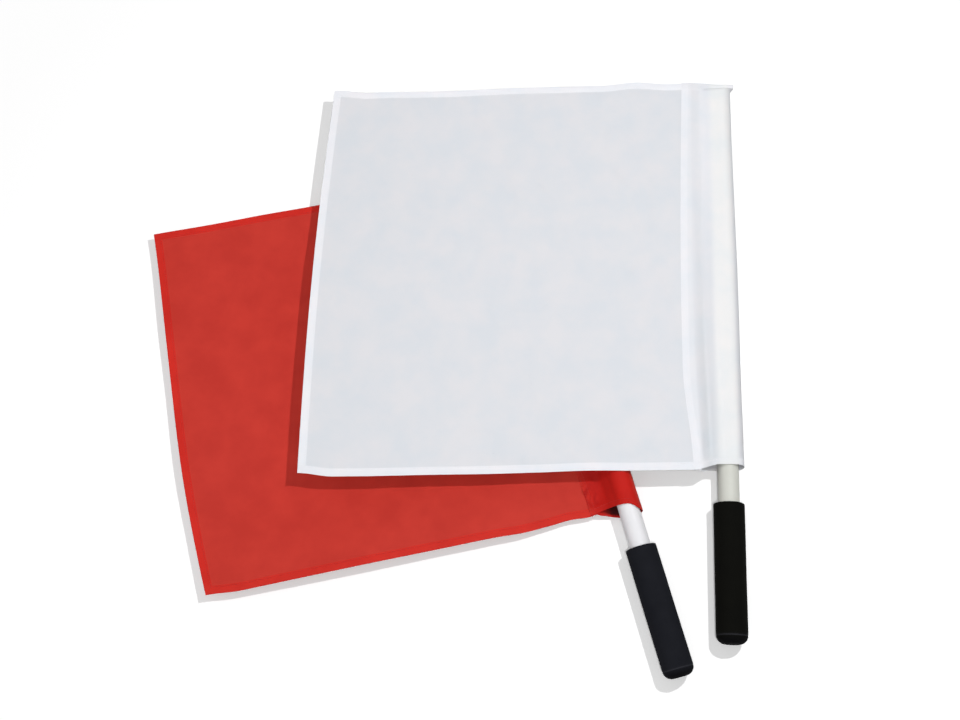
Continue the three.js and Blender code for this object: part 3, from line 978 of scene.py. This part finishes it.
def polyester_thread(name, hex_colour, shade):
    material, tree, place = new_material(name)
    twist = add_node(tree, "ShaderNodeTexNoise", {
        "Vector": place, "Scale": 1 / TWIST_SIZE, "Detail": 2.0})
    colour = add_node(tree, "ShaderNodeMix", {
        "Factor": twist, "A": linear(shade), "B": linear(hex_colour)}, data_type="RGBA")
    relief = add_node(tree, "ShaderNodeBump", {"Height": twist, "Strength": 0.4, "Distance": TWIST_DEPTH})
    shader = add_node(tree, "ShaderNodeBsdfPrincipled", {
        "Base Color": colour, "Roughness": 0.5, "IOR": 1.55,
        "Specular IOR Level": 0.3, "Normal": relief})
    return finished(material, shader)


tree = sewing_tree()
threads = {
    "white": polyester_thread("white_polyester_thread", "#f6f6f8", "#e4e4e8"),
    "red": polyester_thread("red_polyester_thread", "#c42622", "#9e1c18"),
}
stitches = {}
for flag in FLAGS:
    rows = panel_rows(flag) + casing_rows(flag)
    stitches[flag.name] = sew(flag.name + "_flag_stitches", rows, tree, threads[flag.name])
print("stitch faces:", [len(piece.data.polygons) for piece in stitches.values()])

# %% [markdown]
# The pole is half-inch PVC pipe, extruded white, and the grip is a black closed-cell foam
# sleeve with a moulded round end. Both are turned forms: a profile spun about the pole's
# axis, with enough sides that no facet shows.

# %% Turned parts
TURN_SIDES = 112
POLE_EDGE = 0.4
POLE_STEPS = 60
GRIP_END_STEPS = 28
GRIP_SIDE_STEPS = 90
VENT_EDGE = 0.5


def quarter_round(centre, radius, start, end, steps=9):
    angles = [math.pi / 2 * blend(start, end, step / (steps - 1)) for step in range(steps)]
    return [(centre[0] + radius * math.cos(a), centre[1] + radius * math.sin(a)) for a in angles]


def turned(flag, name, profile, material, relief=None):
    """Spins a closed profile of (radius, along) points about the flag's pole."""
    profile = np.array(profile)
    angle = np.linspace(0, 2 * math.pi, TURN_SIDES, endpoint=False)[None, :]
    radius = profile[:, :1] * np.ones_like(angle)
    if relief is not None:
        radius = radius + relief(profile[:, 1:], angle)
    across = radius * np.sin(angle)
    up = AXIS_HEIGHT + radius * np.cos(angle)
    along = profile[:, 1:] * np.ones_like(angle)
    points = to_world(flag, across, along, up)
    rows, columns = radius.shape
    index = np.arange(rows * columns).reshape(rows, columns)
    following = np.roll(index, -1, axis=0)
    faces = np.stack([index, np.roll(index, -1, axis=1), np.roll(following, -1, axis=1), following], -1)
    return mesh_object(name, points, faces.reshape(-1, 4), material, smooth_angle=35)


def pole_profile(flag):
    foot = -flag.bare_pole - flag.grip_length + GRIP_END_WALL + SEAT_GAP
    head = flag.cloth_height - CASING_CLOSE_LENGTH - PLUG_HEAD_HEIGHT - SEAT_GAP
    bore = POLE_RADIUS - POLE_WALL
    face = POLE_RADIUS - POLE_EDGE
    outside = [(POLE_RADIUS, a) for a in np.linspace(foot + POLE_EDGE, head - POLE_EDGE, POLE_STEPS)]
    return [(bore, foot), (face, foot), *outside, (face, head), (bore, head)]


def grip_profile(flag):
    mouth = -flag.bare_pole
    end = mouth - flag.grip_length
    bore = POLE_RADIUS + SEAT_GAP
    end_centre = (GRIP_RADIUS - GRIP_END_ROUND, end + GRIP_END_ROUND)
    mouth_centre = (GRIP_RADIUS - GRIP_MOUTH_ROUND, mouth - GRIP_MOUTH_ROUND)
    end_round = quarter_round(end_centre, GRIP_END_ROUND, -1, 0, GRIP_END_STEPS)
    mouth_round = quarter_round(mouth_centre, GRIP_MOUTH_ROUND, 0, 1)
    steps = np.linspace(end_round[-1][1], mouth_round[0][1], GRIP_SIDE_STEPS)
    return [
        (GRIP_VENT_RADIUS, end + VENT_EDGE), (GRIP_VENT_RADIUS + VENT_EDGE, end),
        *end_round, *[(GRIP_RADIUS, a) for a in steps[1:-1]], *mouth_round,
        (bore, mouth), (bore, end + GRIP_END_WALL), (GRIP_VENT_RADIUS, end + GRIP_END_WALL),
    ]


# %% [markdown]
# PVC pipe has a smooth, slightly waxy skin with faint scuffs, and yellows a little with age.
# Foam rubber is nearly black and quite matt: its skin is a fine pebble of closed cells, just
# under a millimetre across. On the moulded end the skin is denser, smoother and darker. A
# shallow groove runs round it where the end's rounding starts, and a slightly paler painted
# highlight lies along the groove.

# %% Pipe and foam materials
SCUFF_SIZE = 14 * MM
SCUFF_DEPTH = 0.1 * MM
CELL_SIZE = 0.9 * MM
CELL_DEPTH = 0.12 * MM
DUST_SIZE = 18 * MM
SKIN_REACH = 11.0
SKIN_COLOUR = "#0b0b0d"
MOULD_LINE_INSET = 0.8
MOULD_LINE_HALF_WIDTH = 1.1
MOULD_LINE_DEPTH = 0.35
MOULD_LINE_HIGHLIGHT_STRENGTH = 0.32
MOULD_LINE_HIGHLIGHT_COLOUR = "#4a4a50"
GRIP_DENT_DEPTH = 0.12
GRIP_DENT_LENGTH = 17.0
GRIP_DENT_TWIST = 40.0


def white_pvc(name, hex_colour, scuffed):
    material, tree, place = new_material(name)
    scuffs = add_node(tree, "ShaderNodeTexNoise", {
        "Vector": place, "Scale": 1 / SCUFF_SIZE, "Detail": 6.0})
    colour = add_node(tree, "ShaderNodeMix", {
        "Factor": scuffs, "A": linear(scuffed), "B": linear(hex_colour)}, data_type="RGBA")
    gloss = add_node(tree, "ShaderNodeMapRange", {
        "Value": scuffs, "From Min": 0.35, "From Max": 0.65, "To Min": 0.32, "To Max": 0.44})
    relief = add_node(tree, "ShaderNodeBump", {"Height": scuffs, "Strength": 0.15, "Distance": SCUFF_DEPTH})
    shader = add_node(tree, "ShaderNodeBsdfPrincipled", {
        "Base Color": colour, "Roughness": gloss, "IOR": 1.54,
        "Specular IOR Level": 0.15, "Normal": relief})
    return finished(material, shader)


def black_foam(name, hex_colour, dust_and_painted_shade):
    material, tree, place = new_material(name)
    cells = add_node(tree, "ShaderNodeTexVoronoi", {"Vector": place, "Scale": 1 / CELL_SIZE})
    dust = add_node(tree, "ShaderNodeTexNoise", {"Vector": place, "Scale": 1 / DUST_SIZE, "Detail": 5.0})
    dusty = add_node(tree, "ShaderNodeMix", {
        "Factor": dust, "A": linear(hex_colour), "B": linear(dust_and_painted_shade)}, data_type="RGBA")
    # The paler colour along the mould line is a painted highlight.
    colour = lay_over(tree, dusty, {"moulded_skin": SKIN_COLOUR, "mould_groove_and_highlight": MOULD_LINE_HIGHLIGHT_COLOUR})
    skin = add_node(tree, "ShaderNodeAttribute", attribute_name="moulded_skin").outputs["Fac"]
    depth = add_node(tree, "ShaderNodeMapRange", {"Value": skin, "To Min": 0.6, "To Max": 0.15})
    relief = add_node(tree, "ShaderNodeBump", {"Height": cells, "Strength": depth, "Distance": CELL_DEPTH})
    shader = add_node(tree, "ShaderNodeBsdfPrincipled", {
        "Base Color": colour, "Roughness": 0.85, "IOR": 1.5,
        "Specular IOR Level": 0.03, "Normal": relief})
    return finished(material, shader)


pipes = {
    "white": white_pvc("aged_white_pvc_pipe", "#d9dad2", "#cdcec6"),
    "red": white_pvc("new_white_pvc_pipe", "#f0f0f2", "#e8e8ec"),
}
foams = {
    "white": black_foam("black_closed_cell_foam", "#0a0a09", "#11110e"),
    "red": black_foam("charcoal_closed_cell_foam", "#18191e", "#212227"),
}


def make_pole(flag):
    return turned(flag, flag.name + "_flag_pole_pipe", pole_profile(flag), pipes[flag.name])


def mould_groove_and_highlight(from_end):
    return bump(from_end, GRIP_END_ROUND - MOULD_LINE_INSET, MOULD_LINE_HALF_WIDTH)


def make_grip(flag):
    end = -flag.bare_pole - flag.grip_length

    def dents(along, angle):
        drift = np.cos(angle * 2 + along / GRIP_DENT_TWIST)
        wave = np.sin(along / GRIP_DENT_LENGTH + 2 * np.sin(angle)) * drift
        return -GRIP_DENT_DEPTH * (1 + wave) / 2 - MOULD_LINE_DEPTH * mould_groove_and_highlight(along - end)

    profile = np.array(grip_profile(flag))
    grip = turned(flag, flag.name + "_flag_grip_foam", profile, foams[flag.name], dents)
    from_end = profile[:, 1] - end
    store_look(grip, "moulded_skin", np.repeat(ease(1 - from_end / SKIN_REACH), TURN_SIDES))
    # This attribute places the painted highlight along the mould line.
    store_look(grip, "mould_groove_and_highlight", np.repeat(MOULD_LINE_HIGHLIGHT_STRENGTH * mould_groove_and_highlight(from_end), TURN_SIDES))
    return grip


poles = {flag.name: make_pole(flag) for flag in FLAGS}
grips = {flag.name: make_grip(flag) for flag in FLAGS}
print("turned parts:", [p.name for p in (*poles.values(), *grips.values())])

# %% [markdown]
# Every piece rides on the body that carries it, and stands for the plain solid that keeps its
# place in the motion model. The plugs inside the casings keep their own solids and only get
# the pipe's material.

# %% Riding and replacing
def carry(piece, body, node):
    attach(piece, body)
    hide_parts(node)


def dress_flag(flag):
    name = flag.name
    cloth_body, pole_body, cloth_slot = name + "_flag_cloth", name + "_flag_pole", name + "_cloth"
    carry(panels[name], cloth_body, name + "_panel")
    carry(casings[name], cloth_body, name + "_casing")
    carry(poles[name], pole_body, name + "_pole")
    carry(grips[name], pole_body, name + "_grip")
    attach(stitches[name], cloth_body)
    plug = frame["nodes"][name + "_pole_plug"]
    plug.data.materials.clear()
    plug.data.materials.append(pipes[name])


for flag in FLAGS:
    dress_flag(flag)

# %% [markdown]
# The table is plain white and so is everything behind it: the floor's own colour is white to
# the camera, with a faint glow that lifts the soft dimness near the cloth back to white. Away
# from the flags the floor turns to plain white light, so no edge of it shows from the side. What
# it bounces on to the flags is greyer, which gives round things the dark sides they have in
# the photograph. One small lamp at the upper right lays the offset shadows: because it is near,
# they spread, so the cloth's fly throws its shadow to the left and the grips throw theirs
# downwards. A second, larger one stands behind the viewer and reaches all that the viewer
# sees, which keeps those shadows even and pale. The sky does the rest, brighter on the left, so
# round things are dark along both their sides. The lamps' falloff is constant, so both flags
# are lit alike. The three shares of the light add up to one, so each colour renders about as it
# is written.

# %% Table and light
LAMP_PLACE = Vector((0.56, 0.25, 1.1))
LAMP_SHARE = 0.38
LAMP_RADIUS = 0.01
FILL_SHARE = 0.37
FILL_FURTHER = 1.4
FILL_RADIUS = 0.12
SKY_SLANT = 0.9
FLOOR_GLOW = 0.1
FLOOR_FADE_START = 0.5
FLOOR_FADE_END = 0.85
FLOOR_SIZE = 6.0
FLOOR_BOUNCE = "#b4b4b4"


def seen_directly(tree):
    """1 for rays from the camera, from gloss or through glass, which should meet a white background."""
    rays = add_node(tree, "ShaderNodeLightPath").outputs
    either = add_node(tree, "ShaderNodeMath", {0: rays["Is Camera Ray"], 1: rays["Is Glossy Ray"]},
                      operation="MAXIMUM")
    return add_node(tree, "ShaderNodeMath", {0: either, 1: rays["Is Transmission Ray"]},
                    operation="MAXIMUM")


def table_material():
    material, tree, place = new_material("matt_white_table")
    seen = seen_directly(tree)
    colour = add_node(tree, "ShaderNodeMix", {
        "Factor": seen, "A": linear(FLOOR_BOUNCE), "B": (1, 1, 1, 1)}, data_type="RGBA")
    matt = add_node(tree, "ShaderNodeBsdfDiffuse", {"Color": colour})
    glow = add_node(tree, "ShaderNodeMath", {0: seen, 1: FLOOR_GLOW}, operation="MULTIPLY")
    light = add_node(tree, "ShaderNodeEmission", {"Strength": glow})
    near = add_node(tree, "ShaderNodeAddShader", {0: matt, 1: light})
    distance = add_node(tree, "ShaderNodeVectorMath", {0: place}, operation="LENGTH").outputs["Value"]
    far = add_node(tree, "ShaderNodeMapRange", {
        "Value": distance, "From Min": FLOOR_FADE_START, "From Max": FLOOR_FADE_END},
        interpolation_type="SMOOTHSTEP")
    far_seen = add_node(tree, "ShaderNodeMath", {0: far, 1: seen}, operation="MULTIPLY")
    white = add_node(tree, "ShaderNodeEmission", {"Strength": 1.0})
    return finished(material, add_node(tree, "ShaderNodeMixShader", {0: far_seen, 1: near, 2: white}))


def add_table():
    half = FLOOR_SIZE / 2
    corners = np.array([(-half, -half, 0), (half, -half, 0), (half, half, 0), (-half, half, 0)])
    table = mesh_object("table", corners, np.array([[0, 1, 2, 3]]), table_material())


def add_lamp(name, place, share, radius):
    """A lamp that gives its share of the light at the middle of the table."""
    data = bpy.data.lights.new(name, "POINT")
    steepness = place.z / (place - LOOK_AT).length
    data.energy = 4 * math.pi ** 2 * share / steepness
    data.shadow_soft_size = radius
    tree = empty_tree(data)
    falloff = add_node(tree, "ShaderNodeLightFalloff", {"Strength": 1.0})
    light = add_node(tree, "ShaderNodeEmission", {"Strength": falloff.outputs["Constant"]})
    add_node(tree, "ShaderNodeOutputLight", {"Surface": light})
    add_object(name, data).location = place


def add_sky():
    world = bpy.data.worlds.new("studio")
    tree = empty_tree(world)
    towards = add_node(tree, "ShaderNodeTexCoord").outputs["Generated"]
    sideways = add_node(tree, "ShaderNodeSeparateXYZ", {0: towards}).outputs["X"]
    share = 1 - LAMP_SHARE - FILL_SHARE
    strength = add_node(tree, "ShaderNodeMath", {0: sideways, 1: -share * SKY_SLANT, 2: share},
                        operation="MULTIPLY_ADD")
    sky = add_node(tree, "ShaderNodeBackground", {"Color": (1, 1, 1, 1), "Strength": strength})
    white = add_node(tree, "ShaderNodeBackground", {"Color": (1, 1, 1, 1), "Strength": 1.0})
    mixed = add_node(tree, "ShaderNodeMixShader", {0: seen_directly(tree), 1: sky, 2: white})
    add_node(tree, "ShaderNodeOutputWorld", {"Surface": mixed})
    bpy.context.scene.world = world
    bpy.context.scene.view_settings.view_transform = "Standard"


add_table()
add_lamp("lamp", LAMP_PLACE, LAMP_SHARE, LAMP_RADIUS)
add_lamp("fill", LOOK_AT + (camera.location - LOOK_AT) * FILL_FURTHER, FILL_SHARE, FILL_RADIUS)
add_sky()
